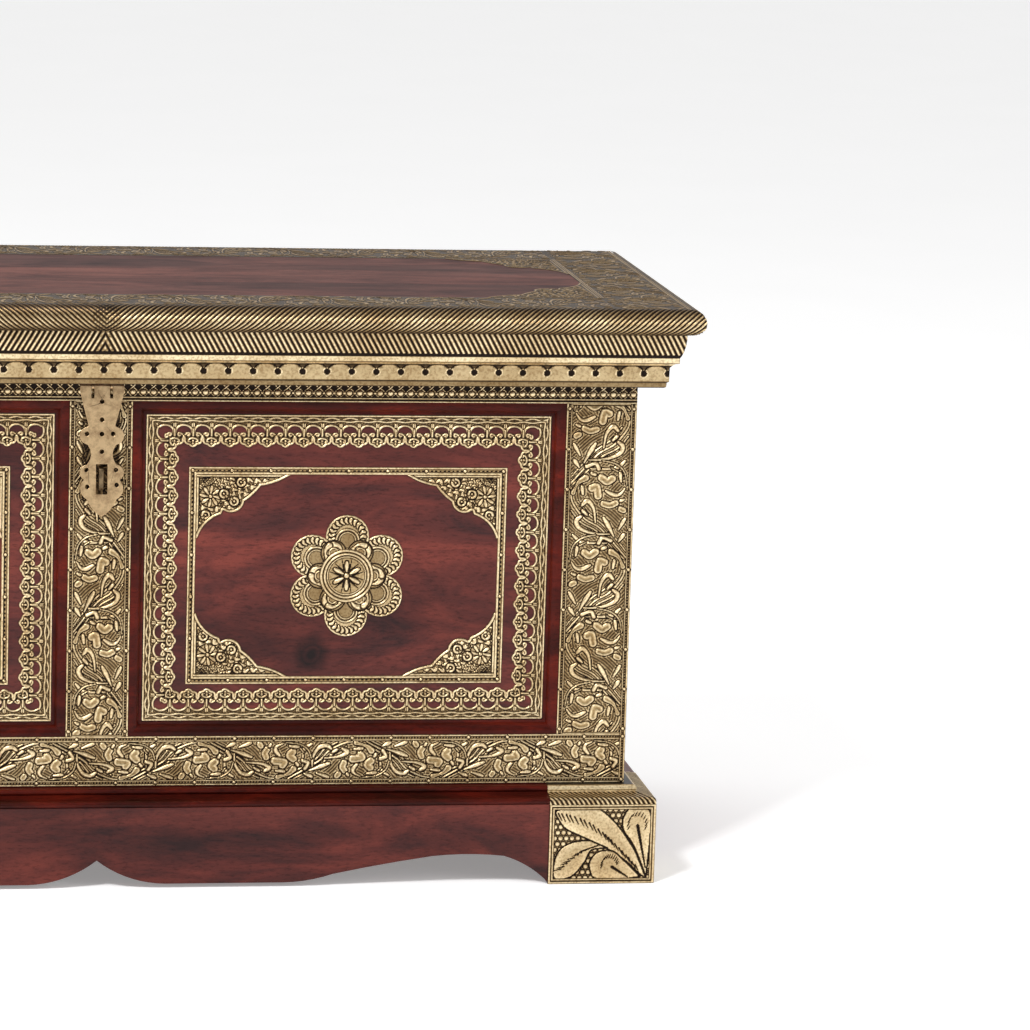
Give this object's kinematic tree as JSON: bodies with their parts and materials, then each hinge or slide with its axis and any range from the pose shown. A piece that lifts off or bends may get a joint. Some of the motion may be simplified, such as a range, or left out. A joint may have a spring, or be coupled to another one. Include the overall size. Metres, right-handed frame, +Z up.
{
  "type": "dowry chest",
  "caption": "Low wooden storage chest with a framed and panelled front, brass cladding, a hinged lid with a cornice, a hasp and staple, and a plinth on corner feet.",
  "frame": {"origin": "on the floor under the middle of the whole chest, hinge knuckles included", "axes": "+X along the front to the viewer's right, +Y from the front to the back, +Z up"},
  "size_m": [1.206, 0.4932, 0.6],
  "materials": {
    "lacquered_rosewood": "gloss lacquer over red-brown wood",
    "lid_rosewood": "satin lacquer over dark wood",
    "plain_wood": "oiled, unpolished",
    "embossed_brass": "antiqued relief, dark in the hollows",
    "plate_brass": "satin, aged",
    "steel_pin": "dull"
  },
  "bodies": {
    "chest": {"back_planks": "plain_wood", "base_moulding_front": "lacquered_rosewood", "base_moulding_left": "lacquered_rosewood", "base_moulding_right": "lacquered_rosewood", "bottom_rail_sheet": "embossed_brass", "centre_stile": "lacquered_rosewood", "floor_bearers": "plain_wood", "floor_boards": "plain_wood", "foot_block_front_left": "lacquered_rosewood", "foot_block_front_right": "lacquered_rosewood", "foot_blocks_rear": "lacquered_rosewood", "foot_sheet_left": "embossed_brass", "foot_sheet_right": "embossed_brass", "front_bottom_rail": "lacquered_rosewood", "front_panel_left": "lacquered_rosewood", "front_panel_right": "lacquered_rosewood", "front_stile_left": "lacquered_rosewood", "front_stile_right": "lacquered_rosewood", "front_top_rail": "lacquered_rosewood", "hasp_staple": "plate_brass", "hinge_leaves_body": "plate_brass", "hinge_pins": "steel_pin", "inner_border_left": "embossed_brass", "inner_border_right": "embossed_brass", "lattice_strip": "embossed_brass", "moulding_corner_left": "embossed_brass", "moulding_corner_right": "embossed_brass", "panel_brackets": "embossed_brass", "panel_lace_left": "embossed_brass", "panel_lace_right": "embossed_brass", "plinth_apron_front": "lacquered_rosewood", "plinth_apron_left": "lacquered_rosewood", "plinth_apron_right": "lacquered_rosewood", "plinth_back_board": "plain_wood", "recess_moulding_left": "lacquered_rosewood", "recess_moulding_right": "lacquered_rosewood", "rosette_left": "embossed_brass", "rosette_right": "embossed_brass", "side_planks_left": "lacquered_rosewood", "side_planks_right": "lacquered_rosewood", "stile_sheet_centre": "embossed_brass", "stile_sheet_left": "embossed_brass", "stile_sheet_right": "embossed_brass"},
    "lid": {"lid_frame_front": "lid_rosewood", "lid_frame_back": "lid_rosewood", "lid_frame_left": "lid_rosewood", "lid_frame_right": "lid_rosewood", "lid_field_boards": "lid_rosewood", "lid_battens": "plain_wood", "cornice_front": "lid_rosewood", "cornice_left": "lid_rosewood", "cornice_right": "lid_rosewood", "cornice_skin": "embossed_brass", "rope_edge": "embossed_brass", "lid_border_sheets": "embossed_brass", "lid_brackets": "embossed_brass", "hinge_leaves_lid": "plate_brass", "hasp_eyes": "plate_brass"},
    "hasp": {"hasp_plate": "plate_brass", "hasp_pin": "steel_pin"}
  },
  "joints": [
    {"name": "lid_hinge", "type": "hinge", "parent": "chest", "child": "lid", "pos_m": [0, 0.24165, 0.57325], "axis": [-1, 0, 0], "range_deg": [0, 100]},
    {"name": "hasp_swing", "type": "hinge", "parent": "lid", "child": "hasp", "pos_m": [0, -0.19325, 0.5118], "axis": [-1, 0, 0], "range_deg": [-7.5, 83.5]}
  ]
}
